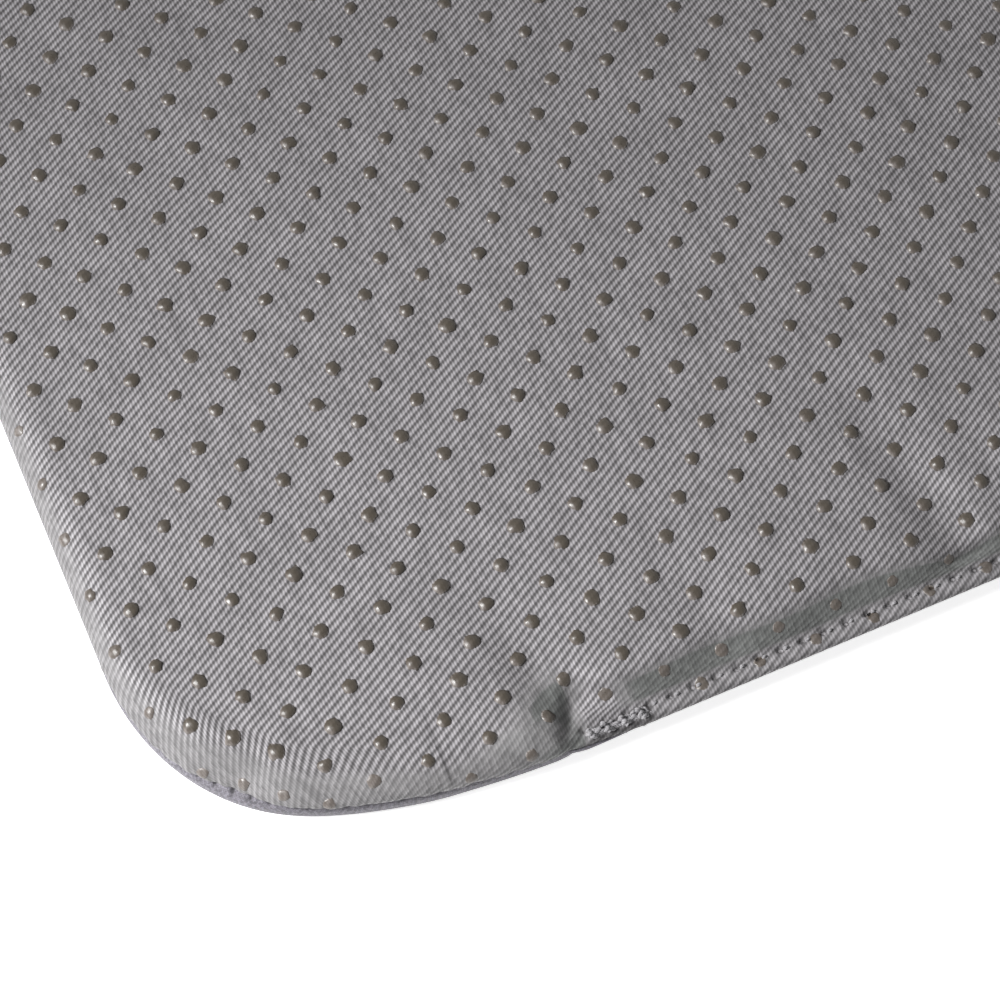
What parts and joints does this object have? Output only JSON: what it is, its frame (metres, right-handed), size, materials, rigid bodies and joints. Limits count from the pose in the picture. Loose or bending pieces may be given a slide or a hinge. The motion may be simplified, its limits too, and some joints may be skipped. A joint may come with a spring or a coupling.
{
  "type": "heat press mat",
  "caption": "Square padded heat press mat with round corners: twill non-slip face over lining, foam, felt and foil, a smooth press cover, sewn edges and a topstitched closing lip.",
  "frame": {"origin": "on the resting plane under the middle of the mat, the bottom centre of its bounding box", "axes": "+Z out of the dotted non-slip face, which is up as pictured; -Y towards the side with the topstitched closing seam; +X along that seam"},
  "size_m": [0.305, 0.305, 0.008],
  "materials": {
    "grip_twill": "silver-grey twill with fine diagonal ribs",
    "press_weave": "smooth blue-grey plain weave with a heat-resistant coating",
    "foil": "thin crinkled reflective film",
    "felt": "needled felt",
    "silicone_sponge": "fine closed-cell silicone sponge",
    "lining": "thin non-woven lining",
    "thread": "twisted polyester sewing thread",
    "grip_silicone": "clear brown-grey silicone, glossy"
  },
  "bodies": {
    "root": {"grip_cover": "grip_twill", "press_cover": "press_weave", "reflective_foil": "foil", "wicking_felt": "felt", "foam_core": "silicone_sponge", "insulating_lining": "lining", "seam_needle_thread": "thread", "seam_bobbin_thread": "thread", "closing_needle_thread": "thread", "closing_bobbin_thread": "thread"}
  },
  "joints": []
}
